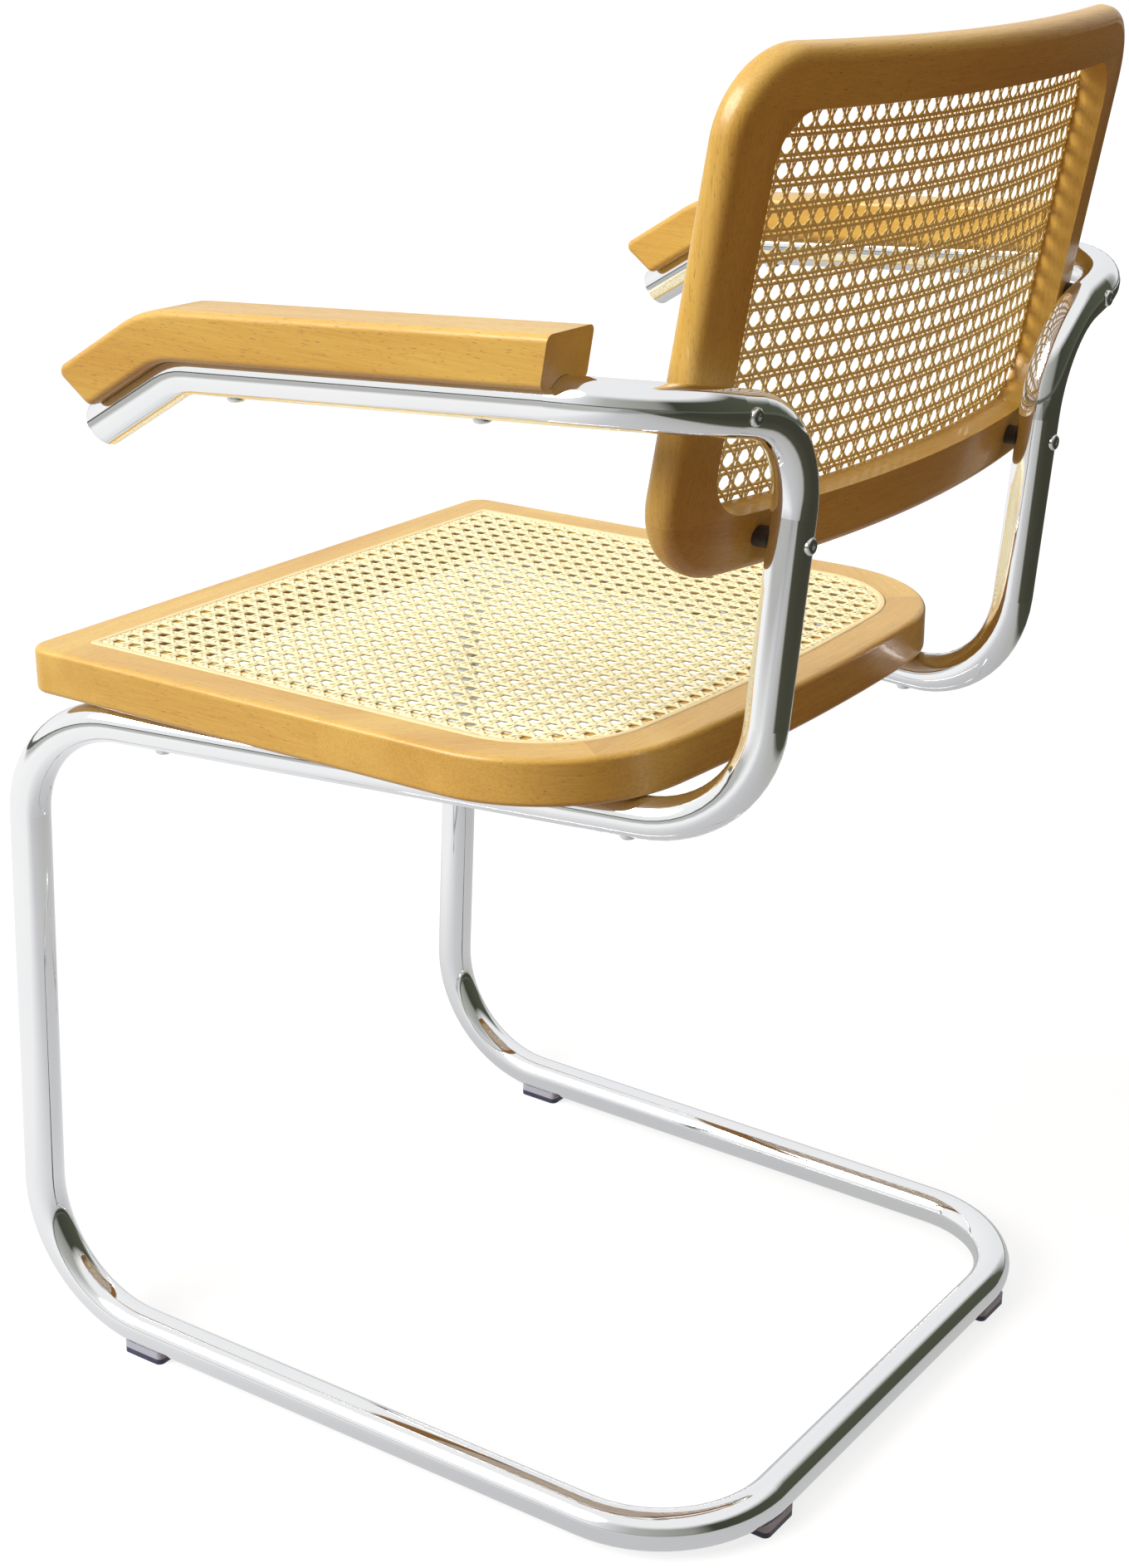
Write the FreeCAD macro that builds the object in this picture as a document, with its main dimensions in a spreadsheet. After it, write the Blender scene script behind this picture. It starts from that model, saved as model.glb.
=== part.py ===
import FreeCAD, Part
import Sketcher
import math
import os

Vector = FreeCAD.Vector
Rotation = FreeCAD.Rotation
Placement = FreeCAD.Placement

doc = FreeCAD.newDocument("cantilever_chair")

# Driving sizes
# Millimetres and degrees. Heights are above the floor. Depths are measured back from the line
# where the front uprights meet the floor tubes. X runs to the sitter's left, Y to the back.
sizes = {
    "origin_depth": 261.45,           # depth of the frame's origin, the middle of the chair
    "tube_diameter": 25.0,
    "tube_wall": 2.0,
    "tube_seat_gap": 0.15,            # between a tube and what is hollowed to lie on it
    "base_half_width": 219.5,
    "base_depth": 517.8,
    "base_height": 17.0,
    "base_front_bend": 85.0,
    "base_rear_bend": 81.8,
    "seat_bend_depth": 11.7,
    "seat_bend_height": 432.0,
    "seat_front_bend": 73.0,
    "post_foot_half_width": 151.1,
    "post_foot_depth": 490.2,
    "post_foot_height": 444.0,
    "post_foot_bend": 72.8,
    "post_top_half_width": 145.4,
    "post_top_depth": 507.8,
    "post_top_height": 678.7,
    "arm_half_width": 271.3,
    "shoulder_depth": 499.0,
    "shoulder_height": 704.5,
    "shoulder_straight": 1.95,        # what the two bends leave of half the shoulder's width
    "arm_front_depth": 200.1,
    "arm_front_height": 677.0,
    "arm_front_bend": 40.0,
    "arm_end_depth": 142.7,
    "arm_end_height": 639.8,
    "sleeve_length": 80.0,
    "sleeve_wall": 1.5,
    "sleeve_clearance": 0.1,
    "end_cap_thickness": 1.6,
    "end_cap_stub": 10.0,
    "pad_length": 32.0,
    "pad_width": 20.0,
    "pad_grip": 4.0,                  # how far a pad reaches up beside its tube
    "pad_corner": 4.0,
    "pad_stem_diameter": 5.0,
    "pad_stem_reach": 4.0,
    "pad_stem_root": 1.5,             # how deep in the pad the stem begins
    "front_pad_depth": 92.0,
    "rear_pad_half_spacing": 143.0,
    "armrest_width": 39.0,
    "armrest_thickness": 27.2,
    "armrest_underside": 7.5,         # above the tube's centreline
    "armrest_edge": 4.0,
    "armrest_rear_depth": 443.0,
    "armrest_rear_angle": 9.0,
    "armrest_nose_cut": 10.8,         # lower corner of the nose, back from the tube's end
    "armrest_nose_angle": 22.0,
    "armrest_nose_round": 5.0,
    "armrest_screw_front": 235.0,
    "armrest_screw_rear": 395.0,
    "seat_front_half_width": 224.0,
    "seat_rear_half_width": 226.8,
    "seat_front_depth": 19.2,
    "seat_length": 420.7,
    "seat_rear_bow": 15.4,
    "seat_front_corner": 14.0,
    "seat_least_corner": 3.0,         # radius kept where the front corners are drawn in
    "seat_rear_corner": 100.0,
    "seat_thickness": 28.5,
    "seat_rest_gap": 0.2,
    "seat_border": 26.0,              # wood outside the groove
    "seat_groove": 5.0,
    "seat_lip": 12.0,                 # wood inside the groove, under the cane
    "groove_depth": 6.5,
    "spline_clearance": 0.15,
    "spline_crown": 0.6,
    "spline_edge": 1.5,
    "cane_thickness": 1.3,
    "cane_clearance": 0.1,
    "cane_bar": 12.0,                 # between two openings of the cane
    "seat_edge": 3.5,
    "seat_side_joint": 57.0,
    "seat_corner_joint": 229.0,
    "finger_length": 7.5,
    "finger_joint_angle": 52.0,
    "seat_front_screw": 90.8,         # behind the seat's front edge
    "seat_rear_screw": 23.9,          # in front of the seat's rear edge
    "back_lean_angle": 9.3,
    "back_bottom_depth": 489.4,
    "back_bottom_height": 589.9,
    "back_height": 277.2,
    "back_half_width": 222.0,
    "back_sag": 22.2,
    "back_thickness": 19.0,
    "back_corner": 48.0,
    "back_stile_width": 32.0,
    "back_top_rail": 30.0,
    "back_bottom_rail": 35.0,
    "back_opening_corner": 28.0,
    "back_lip": 9.0,
    "back_groove": 4.5,
    "back_edge": 8.0,
    "spacer_diameter": 12.0,
    "lower_spacer_height": 612.0,
    "upper_spacer_inset": 13.65,      # from the back's side edge
    "screw_diameter": 5.0,
    "screw_head_diameter": 10.0,
    "screw_head_height": 3.0,
    "screw_head_round": 2.1,
    "screw_bite": 14.0,               # length of screw in the wood
    "screw_clearance": 0.15,
    "pilot_clearance": 0.05,
}
sheet = doc.addObject("Spreadsheet::Sheet", "Sizes")
for row, (alias, number) in enumerate(sizes.items(), start=1):
    sheet.set(f"A{row}", alias)
    sheet.set(f"B{row}", str(number))
    sheet.setAlias(f"B{row}", alias)
doc.recompute()
past = 10    # how far a cutting tool runs past what it cuts


def size(expression):
    """The value of an expression on the sheet's aliases."""
    return float(sheet.evalExpression(expression))


def on_sheet(expression):
    """The same expression with each alias addressed to the sheet, for another object's use."""
    text = ""
    word = ""
    for letter in expression + " ":
        if letter.isalnum() or letter == "_":
            word += letter
        else:
            text += ("Sizes." + word if word in sizes else word) + letter
            word = ""
    return text.strip()


def bind(item, **expressions):
    for name, expression in expressions.items():
        item.setExpression(name, on_sheet(expression))
    return item


def add(kind, name, **values):
    item = doc.addObject(kind, name)
    for key, value in values.items():
        setattr(item, key, value)
    return item


def cut(name, base, *tools):
    tool = tools[0]
    if len(tools) > 1:
        tool = add("Part::Compound", name + "_tools", Links=list(tools))
    return add("Part::Cut", name, Base=base, Tool=tool)


def common(name, base, tool):
    return add("Part::Common", name, Base=base, Tool=tool)


def mirrored(name, source):
    return add("Part::Mirroring", name, Source=source, Base=Vector(0, 0, 0), Normal=Vector(1, 0, 0))


def box(name, low, high, place=None):
    """A block between two corners given as expressions, in the frame of a placement."""
    item = add("Part::Box", name)
    bind(item, Length=f"{high[0]} - ({low[0]})", Width=f"{high[1]} - ({low[1]})",
         Height=f"{high[2]} - ({low[2]})")
    corner = Vector(*[size(expression) for expression in low])
    item.Placement = (place or Placement()).multiply(Placement(corner, Rotation()))
    return item


def rod(name, start, direction, radius, length):
    """A round bar from a point along a direction."""
    item = bind(add("Part::Cylinder", name), Radius=radius, Height=length)
    item.Placement = Placement(start, Rotation(Vector(0, 0, 1), direction))
    return item


def unit(vector):
    return Vector(vector) / vector.Length


# Sketches
# Each lies on an origin plane of its own body. Corners are held by their distances from the
# origin, and round corners by tangency and a radius.
def sketch_on(body, name, plane):
    sketch = body.newObject("Sketcher::SketchObject", name)
    feature = next(f for f in body.Origin.OriginFeatures if f.Role == plane)
    sketch.AttachmentSupport = [(feature, "")]
    sketch.MapMode = "FlatFace"
    return sketch


def hold(sketch, kind, expression, *where):
    """A driving dimension: Radius of an arc, or DistanceX or DistanceY from the origin."""
    target = where if kind == "Radius" else (-1, 1) + where
    index = sketch.addConstraint(Sketcher.Constraint(kind, *target, size(expression)))
    sketch.setExpression(f"Constraints[{index}]", on_sheet(expression))


def chain(sketch, first, count, tangent):
    """Joins the ends of a closed run of edges, with tangency where it is rounded."""
    for step in range(count):
        after = first + (step + 1) % count
        kind = "Tangent" if tangent else "Coincident"
        sketch.addConstraint(Sketcher.Constraint(kind, first + step, 2, after, 1))


def arc(centre, radius, start, end):
    return Part.ArcOfCircle(Part.Circle(centre, Vector(0, 0, 1), radius), start, end)


def polygon(sketch, points):
    places = [Vector(size(u), size(v), 0) for u, v in points]
    first = sketch.GeometryCount
    for here, there in zip(places, places[1:] + places[:1]):
        sketch.addGeometry(Part.LineSegment(here, there))
    chain(sketch, first, len(points), tangent=False)
    for index, (u, v) in enumerate(points):
        hold(sketch, "DistanceX", u, first + index, 1)
        hold(sketch, "DistanceY", v, first + index, 1)


def rounded_rectangle(sketch, half_width, bottom, top, radius):
    w, low, high, r = size(half_width), size(bottom), size(top), size(radius)
    first = sketch.GeometryCount
    ends = [(Vector(r - w, low, 0), Vector(w - r, low, 0)),
            (Vector(w, low + r, 0), Vector(w, high - r, 0)),
            (Vector(w - r, high, 0), Vector(r - w, high, 0)),
            (Vector(-w, high - r, 0), Vector(-w, low + r, 0))]
    corners = [(w - r, low + r), (w - r, high - r), (r - w, high - r), (r - w, low + r)]
    quarter = math.pi / 2
    for turn, ((start, end), (x, y)) in enumerate(zip(ends, corners)):
        sketch.addGeometry(Part.LineSegment(start, end))
        sketch.addGeometry(arc(Vector(x, y, 0), r, quarter * (turn - 1), quarter * turn))
    chain(sketch, first, 8, tangent=True)
    for side, kind in ((0, "Horizontal"), (2, "Vertical"), (4, "Horizontal"), (6, "Vertical")):
        sketch.addConstraint(Sketcher.Constraint(kind, first + side))
    hold(sketch, "DistanceY", bottom, first, 1)
    hold(sketch, "DistanceX", half_width, first + 2, 1)
    hold(sketch, "DistanceY", top, first + 4, 1)
    hold(sketch, "DistanceX", f"-({half_width})", first + 6, 1)
    for corner in (1, 3, 5, 7):
        hold(sketch, "Radius", radius, first + corner)


def pad(body, sketch, length, **options):
    feature = body.newObject("PartDesign::Pad", sketch.Name + "_pad")
    feature.Profile = sketch
    sketch.Visibility = False
    for key, value in options.items():
        setattr(feature, key, value)
    return bind(feature, Length=length)


def pocket(body, sketch, depth=None, **options):
    """A pocket that has to take something away: its direction is easily the wrong one."""
    doc.recompute()
    before = body.Shape.Volume
    feature = body.newObject("PartDesign::Pocket", sketch.Name + "_pocket")
    feature.Profile = sketch
    for key, value in options.items():
        setattr(feature, key, value)
    if depth:
        bind(feature, Length=depth)
    doc.recompute()
    assert body.Shape.Volume < before - 1, sketch.Name
    return feature


def fillet(body, radius, wanted):
    """Rounds the edges of the body so far that pass a test."""
    doc.recompute()
    base = body.Tip
    names = [f"Edge{i}" for i, edge in enumerate(base.Shape.Edges, start=1) if wanted(edge)]
    feature = body.newObject("PartDesign::Fillet", body.Name + f"_fillet{len(body.Group)}")
    feature.Base = (base, names)
    return bind(feature, Radius=radius)


# Side tubes
# Each side of the chair is one bent tube. From the middle of the rear floor tube it turns
# forward along the floor, up the front, back under the seat, up behind the back, out to the
# side at the shoulder and forward under the armrest, where its nose dips.
def place(half_width, depth, height):
    return Vector(size(half_width), size(f"{depth} - origin_depth"), size(height))


shoulder_bend = "(arm_half_width - post_top_half_width) / 2 - shoulder_straight"
side_points = [
    (place("0", "base_depth", "base_height"), None),
    (place("base_half_width", "base_depth", "base_height"), "base_rear_bend"),
    (place("base_half_width", "0", "base_height"), "base_front_bend"),
    (place("base_half_width", "seat_bend_depth", "seat_bend_height"), "seat_front_bend"),
    (place("post_foot_half_width", "post_foot_depth", "post_foot_height"), "post_foot_bend"),
    (place("post_top_half_width", "post_top_depth", "post_top_height"), shoulder_bend),
    (place("arm_half_width", "shoulder_depth", "shoulder_height"), shoulder_bend),
    (place("arm_half_width", "arm_front_depth", "arm_front_height"), "arm_front_bend"),
    (place("arm_half_width", "arm_end_depth", "arm_end_height"), None),
]
(rear_middle, rear_corner, front_foot, seat_front, post_foot,
 post_top, shoulder, arm_front, arm_end) = [point for point, _ in side_points]


def bent_path(name, points):
    """Straight runs between the points, joined by tangent arcs of the given bend radii."""
    edges = []
    here = points[0][0]
    for (before, _), (corner, bend), (after, _) in zip(points, points[1:], points[2:]):
        into = unit(corner - before)
        out = unit(after - corner)
        turn = into.getAngle(out)
        setback = size(bend) * math.tan(turn / 2)
        start = corner - into * setback
        end = corner + out * setback
        middle = corner + unit(out - into) * (size(bend) / math.cos(turn / 2) - size(bend))
        edges.append(Part.LineSegment(here, start).toShape())
        edges.append(Part.Arc(start, middle, end).toShape())
        here = end
    edges.append(Part.LineSegment(here, points[-1][0]).toShape())
    return add("Part::Feature", name, Shape=Part.Wire(edges))


def swept_round(name, path, radius):
    """A round bar of the given radius along a path."""
    first = path.Shape.Edges[0]
    section = bind(add("Part::Circle", name + "_section"), Radius=radius)
    section.Placement = Placement(first.valueAt(first.FirstParameter),
                                  Rotation(Vector(0, 0, 1), first.tangentAt(first.FirstParameter)))
    spine = (path, [f"Edge{i}" for i in range(1, len(path.Shape.Edges) + 1)])
    return add("Part::Sweep", name, Sections=[section], Spine=spine, Solid=True, Frenet=False)


side_path = bent_path("side_path", side_points)
tube_outside = swept_round("tube_outside", side_path, "tube_diameter / 2")
tube_bore = swept_round("tube_bore", side_path, "tube_diameter / 2 - tube_wall")
tube_seat = swept_round("tube_seat", side_path, "tube_diameter / 2 + tube_seat_gap")


def between(low, high, name, expression):
    """The point of a straight run where its X, Y or Z has a given value."""
    share = (size(expression) - getattr(low, name)) / (getattr(high, name) - getattr(low, name))
    return low + (high - low) * share


# Fasteners
# Round-headed screws go through a tube into the wood. The head lies in a shallow spot face on
# the tube, as deep as the tube's curve under the head.
spot_depth = size("tube_diameter / 2 - sqrt((tube_diameter / 2)^2"
                  " - (screw_head_diameter / 2 + screw_clearance)^2)")
screws = {}
screw_holes = []
wood_holes = {}


def screw(group, name, on_axis, direction, reach):
    """A screw across a tube whose centreline passes through on_axis, and its holes."""
    seat = on_axis - direction * (size("tube_diameter / 2") - spot_depth)
    shank = rod(name + "_shank", seat, direction, "screw_diameter / 2", reach)
    head = rod(name + "_head", seat, -direction, "screw_head_diameter / 2", "screw_head_height")
    domed = add("Part::Fillet", name + "_domed_head", Base=head)
    doc.recompute()
    rim = max(range(3), key=lambda i: (head.Shape.Edges[i].CenterOfMass - seat).dot(-direction)) + 1
    domed.Edges = [(rim, size("screw_head_round"), size("screw_head_round"))]
    screws.setdefault(group, []).append(add("Part::Fuse", name, Base=shank, Tool=domed))
    hole = rod(name + "_hole", seat, direction, "screw_diameter / 2 + screw_clearance",
               "tube_diameter * 2")
    spot = rod(name + "_spot", seat - direction * size("screw_head_height"), direction,
               "screw_head_diameter / 2 + screw_clearance", "screw_head_height")
    screw_holes.extend([hole, spot])
    wood_holes.setdefault(group, []).append(
        rod(name + "_pilot", seat, direction, "screw_diameter / 2 + pilot_clearance", reach))


# Seat frame's place
# It lies on the two tubes behind the front bend, in the slightly rising plane of their tops.
seat_slope = math.atan2(post_foot.z - seat_front.z, post_foot.y - seat_front.y)
seat_up = Vector(0, -math.sin(seat_slope), math.cos(seat_slope))
on_tubes = between(seat_front, post_foot, "y", "seat_front_depth - origin_depth")
on_tubes.x = 0
seat_top = on_tubes + seat_up * size("tube_diameter / 2 + seat_rest_gap + seat_thickness")
seat_place = Placement(seat_top, Rotation(Vector(1, 0, 0), math.degrees(seat_slope)))
seat_reach = "tube_diameter + seat_rest_gap + screw_bite"
for end, at in (("front", "seat_front_depth + seat_front_screw"),
                ("rear", "seat_front_depth + seat_length - seat_rear_screw")):
    spot = between(seat_front, post_foot, "y", f"{at} - origin_depth")
    screw("seat", f"seat_{end}_screw_left", spot, seat_up, seat_reach)

# Armrests' place
# Each lies along the top of its arm tube, which is hollowed into its underside.
arm_along = unit(shoulder - arm_front)
arm_up = Vector(0, -arm_along.z, arm_along.y)
for end in ("front", "rear"):
    spot = between(arm_front, shoulder, "y", f"armrest_screw_{end} - origin_depth")
    screw("armrest", f"armrest_{end}_screw_left", spot, arm_up,
          "tube_diameter / 2 + armrest_underside + screw_bite")

# Back frame's place
# It leans back in front of the posts. Its lower rail is screwed to the posts, and its stiles
# to the shoulders, each over a spacer.
back_place = Placement(place("0", "back_bottom_depth", "back_bottom_height"),
                       Rotation(Vector(1, 0, 0), -size("back_lean_angle")))
lower_spot = between(post_foot, post_top, "z", "lower_spacer_height")
upper_spot = between(post_top, shoulder, "x", "back_half_width - upper_spacer_inset")
forward = Vector(0, -1, 0)
back_radius = "((back_half_width^2 + back_sag^2) / (2 * back_sag))"


def reach_to_back(spot):
    """How far forward of a point the back's rear face is."""
    reach = 0
    for _ in range(20):
        local = back_place.inverse().multVec(spot + forward * reach)
        sag = size(back_radius) - math.sqrt(size(back_radius) ** 2 - local.x ** 2)
        reach += local.y + sag
    return reach


spacer_rods = {}
for end, spot in (("lower", lower_spot), ("upper", upper_spot)):
    reach = reach_to_back(spot)
    screw("back", f"back_{end}_screw_left", spot, forward,
          f"tube_diameter / 2 + {reach} + screw_bite - {spot_depth}")
    spacer_rods[end] = rod(f"{end}_spacer_rod", spot, forward, "spacer_diameter / 2",
                           f"{reach} + {past}")

# Foot pads
# Two under the floor tubes behind the front bends and two under the rear tube, each hollowed
# to the tube, with a stem that goes up into a hole in it.
pad_top = "base_height - tube_diameter / 2 + pad_grip"
pad_spots = {
    "front": (place("base_half_width", "front_pad_depth", "0"), "pad_width", "pad_length"),
    "rear": (place("rear_pad_half_spacing", "base_depth", "0"), "pad_length", "pad_width"),
}
stem_holes = []
foot_pads = {}
for end, (spot, wide, deep) in pad_spots.items():
    block = bind(add("Part::Box", f"{end}_pad_block"), Length=wide, Width=deep, Height=pad_top)
    block.Placement = Placement(spot - Vector(size(wide) / 2, size(deep) / 2, 0), Rotation())
    doc.recompute()
    upright = [i for i, edge in enumerate(block.Shape.Edges, start=1)
               if abs(edge.tangentAt(edge.FirstParameter).z) > 0.9]
    rounded = add("Part::Fillet", f"{end}_pad_rounded", Base=block)
    rounded.Edges = [(i, size("pad_corner"), size("pad_corner")) for i in upright]
    cradle = cut(f"{end}_pad_cradle", rounded, tube_seat)
    stem_foot = spot + Vector(0, 0, size("base_height - tube_diameter / 2 - pad_stem_root"))
    stem_length = "pad_stem_root + tube_wall + pad_stem_reach"
    stem = rod(f"{end}_pad_stem", stem_foot, Vector(0, 0, 1), "pad_stem_diameter / 2", stem_length)
    foot_pads[end] = add("Part::Fuse", f"{end}_left_foot_pad", Base=cradle, Tool=stem)
    stem_holes.append(rod(f"{end}_stem_hole", stem_foot, Vector(0, 0, 1),
                          "pad_stem_diameter / 2 + screw_clearance", stem_length))

left_tube = cut("left_side_tube", tube_outside, tube_bore, *screw_holes, *stem_holes)
right_tube = mirrored("right_side_tube", left_tube)

# Joint of the two sides
# A sleeve inside the rear floor tube bridges the butt joint on the centre line.
sleeve_start = rear_middle - Vector(size("sleeve_length / 2"), 0, 0)
sleeve_outside = rod("sleeve_outside", sleeve_start, Vector(1, 0, 0),
                     "tube_diameter / 2 - tube_wall - sleeve_clearance", "sleeve_length")
sleeve_bore = rod("sleeve_bore", sleeve_start, Vector(1, 0, 0),
                  "tube_diameter / 2 - tube_wall - sleeve_clearance - sleeve_wall", "sleeve_length")
sleeve = cut("frame_joint_sleeve", sleeve_outside, sleeve_bore)

# Arm tube ends
# A flat cap closes the front end of each arm tube, held by a stub inside it.
nose = unit(arm_end - arm_front)
cap_disc = rod("cap_disc", arm_end, nose, "tube_diameter / 2", "end_cap_thickness")
cap_stub = rod("cap_stub", arm_end - nose * size("end_cap_stub"), nose,
               "tube_diameter / 2 - tube_wall - sleeve_clearance", "end_cap_stub")
left_cap = add("Part::Fuse", "left_tube_end_cap", Base=cap_disc, Tool=cap_stub)
right_cap = mirrored("right_tube_end_cap", left_cap)

# Armrests
# A bar of constant section follows the arm tube's centreline, with its long edges rounded. It
# is cut off aslant at the nose and at the back, and hollowed underneath for the tube.
arm_line = [(shoulder, None), (arm_front, "arm_front_bend"), (arm_end + nose * past, None)]
arm_path = bent_path("arm_path", arm_line)
bar_section = add("Part::Plane", "armrest_section")
bind(bar_section, Length="armrest_width", Width="armrest_thickness")
bar_section.Placement = Placement(
    shoulder + arm_up * size("armrest_underside") - Vector(size("armrest_width / 2"), 0, 0),
    Rotation(Vector(1, 0, 0), arm_up, -arm_along, "XYZ"))
bar = add("Part::Sweep", "armrest_bar", Sections=[bar_section],
          Spine=(arm_path, ["Edge1", "Edge2", "Edge3"]), Solid=True, Frenet=False)
doc.recompute()
rear_spot = between(arm_front, shoulder, "y", "armrest_rear_depth - origin_depth")
rear_cut = add("Part::Box", "armrest_rear_cut")
bind(rear_cut, Length="armrest_width * 2", Width="armrest_thickness * 4", Height="armrest_thickness * 4")
rear_cut.Placement = Placement(rear_spot - Vector(size("armrest_width"), 0, 0),
                               Rotation(Vector(1, 0, 0), -size("armrest_rear_angle")))
nose_up = Vector(0, nose.z, -nose.y)
slant = math.radians(size("armrest_nose_angle"))
nose_face = nose_up * math.cos(slant) + nose * math.sin(slant)
nose_out = nose * math.cos(slant) - nose_up * math.sin(slant)
nose_corner = arm_end - nose * size("armrest_nose_cut") + nose_up * size("armrest_underside")
nose_cut = add("Part::Box", "armrest_nose_cut")
bind(nose_cut, Length="armrest_width * 2", Width="armrest_thickness * 2", Height="armrest_thickness * 3")
nose_cut.Placement = Placement(
    nose_corner + Vector(size("armrest_width"), 0, 0) - nose_face * size("armrest_thickness"),
    Rotation(Vector(-1, 0, 0), nose_out, nose_face, "XYZ"))
sawn = cut("armrest_sawn", bar, rear_cut, nose_cut)
doc.recompute()


def edges_for(item, radius, wanted):
    return [(i, size(radius), size(radius))
            for i, edge in enumerate(item.Shape.Edges, start=1) if wanted(edge)]


def across(edge):
    return abs(edge.tangentAt(edge.FirstParameter).x) > 0.9


def at_nose(edge):
    return across(edge) and abs((edge.CenterOfMass - nose_corner).dot(nose_out)) < 0.5


def on_rear_face(edge):
    ends = (edge.valueAt(edge.FirstParameter), edge.valueAt(edge.LastParameter))
    tilt = math.tan(math.radians(size("armrest_rear_angle")))
    return all(abs(p.y - rear_spot.y - (p.z - rear_spot.z) * tilt) < 0.01 for p in ends)


nosed = add("Part::Fillet", "armrest_nosed", Base=sawn)
nosed.Edges = edges_for(sawn, "armrest_nose_round", at_nose)
doc.recompute()
eased = add("Part::Fillet", "armrest_eased", Base=nosed)
eased.Edges = edges_for(nosed, "armrest_edge", lambda edge: not across(edge) and not on_rear_face(edge))
left_armrest = cut("left_armrest", eased, tube_seat, *wood_holes["armrest"])
right_armrest = mirrored("right_armrest", left_armrest)


# Seat frame
# A ring of solid wood with two square front corners, two wide rear corners and a slightly
# bowed back, rounded above and below. The cane lies on its inner lip, wedged into a groove.
def seat_outline(sketch, inset):
    """The seat's outline, drawn in by a distance."""
    bow, half = size("seat_rear_bow"), size("seat_rear_half_width")
    bow_radius = f"((seat_rear_half_width^2 + seat_rear_bow^2) / (2 * seat_rear_bow) - ({inset}))"
    bow_centre = "(seat_length - (seat_rear_half_width^2 + seat_rear_bow^2) / (2 * seat_rear_bow))"
    front_radius = f"max(seat_front_corner - ({inset}); seat_least_corner)"
    rear_radius = f"seat_rear_corner - ({inset})"
    r1, r3, r4, gap = size(front_radius), size(rear_radius), size(bow_radius), size(inset)
    c4 = Vector(0, size(bow_centre), 0)
    c3x = size("seat_rear_half_width - seat_rear_corner")
    c3 = Vector(c3x, c4.y + math.sqrt((r4 - r3) ** 2 - c3x ** 2), 0)
    side = size("seat_front_half_width") - gap
    c1 = Vector(side - r1, gap + r1, 0)
    link = c3 - c1
    aim = math.atan2(link.y, link.x) - math.acos((r1 - r3) / link.Length)
    lean_in = math.atan2(c3.y - c4.y, c3.x)
    up = math.pi / 2
    first = sketch.GeometryCount
    outward = Vector(math.cos(aim), math.sin(aim), 0)

    def flip(point):
        return Vector(-point.x, point.y, 0)

    parts = [
        Part.LineSegment(Vector(r1 - side, gap, 0), Vector(side - r1, gap, 0)),
        arc(c1, r1, -up, aim),
        Part.LineSegment(c1 + outward * r1, c3 + outward * r3),
        arc(c3, r3, aim, lean_in),
        arc(c4, r4, lean_in, math.pi - lean_in),
        arc(flip(c3), r3, math.pi - lean_in, math.pi - aim),
        Part.LineSegment(flip(c3 + outward * r3), flip(c1 + outward * r1)),
        arc(flip(c1), r1, math.pi - aim, math.pi + up),
    ]
    for part in parts:
        sketch.addGeometry(part)
    chain(sketch, first, 8, tangent=True)
    sketch.addConstraint(Sketcher.Constraint("Horizontal", first))
    hold(sketch, "DistanceY", inset, first, 1)
    hold(sketch, "DistanceX", f"seat_front_half_width - ({inset}) - ({front_radius})", first + 1, 3)
    hold(sketch, "DistanceX", f"({inset}) + ({front_radius}) - seat_front_half_width", first + 7, 3)
    hold(sketch, "DistanceX", "seat_rear_half_width - seat_rear_corner", first + 3, 3)
    hold(sketch, "DistanceX", "seat_rear_corner - seat_rear_half_width", first + 5, 3)
    sketch.addConstraint(Sketcher.Constraint("PointOnObject", first + 4, 3, -2))
    hold(sketch, "DistanceY", bow_centre, first + 4, 3)
    for turned, radius in ((1, front_radius), (7, front_radius), (3, rear_radius), (5, rear_radius),
                           (4, bow_radius)):
        hold(sketch, "Radius", radius, first + turned)


def seat_body(name):
    body = add("PartDesign::Body", name)
    body.Placement = seat_place
    return body


seat_ring = seat_body("seat_ring")
outline = sketch_on(seat_ring, "seat_outline", "XY_Plane")
seat_outline(outline, "0")
pad(seat_ring, outline, "seat_thickness", Reversed=True)
fillet(seat_ring, "seat_edge", lambda edge: abs(edge.tangentAt(edge.FirstParameter).z) < 0.5)
opening = sketch_on(seat_ring, "seat_opening", "XY_Plane")
seat_outline(opening, "seat_border + seat_groove + seat_lip")
pocket(seat_ring, opening, Type="ThroughAll")
rebate = sketch_on(seat_ring, "seat_rebate", "XY_Plane")
seat_outline(rebate, "seat_border + seat_groove / 2")
pocket(seat_ring, rebate, "cane_thickness + cane_clearance")
groove = sketch_on(seat_ring, "seat_groove_ring", "XY_Plane")
seat_outline(groove, "seat_border")
seat_outline(groove, "seat_border + seat_groove")
pocket(seat_ring, groove, "groove_depth")

# The ring is glued up from six pieces: a front rail between two side rails, two corner pieces
# behind them and a rear rail, which is finger-jointed to the corners in their middle.
below = f"-seat_thickness - {past}"
above = str(past)
corner_centre = Vector(size("seat_rear_half_width - seat_rear_corner"), 0, 0)
bow_radius = size("(seat_rear_half_width^2 + seat_rear_bow^2) / (2 * seat_rear_bow)")
corner_centre.y = (size("seat_length") - bow_radius
                   + math.sqrt((bow_radius - size("seat_rear_corner")) ** 2 - corner_centre.x ** 2))
fingers = add("PartDesign::Body", "seat_corner_fingers")
fingers.Placement = seat_place.multiply(Placement(
    corner_centre, Rotation(Vector(0, 0, 1), size("finger_joint_angle"))))
comb = sketch_on(fingers, "seat_finger_comb", "YZ_Plane")
teeth = 4
inward = "-seat_length"
steps = [(inward, above), (inward, below), ("0", below)]
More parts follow.
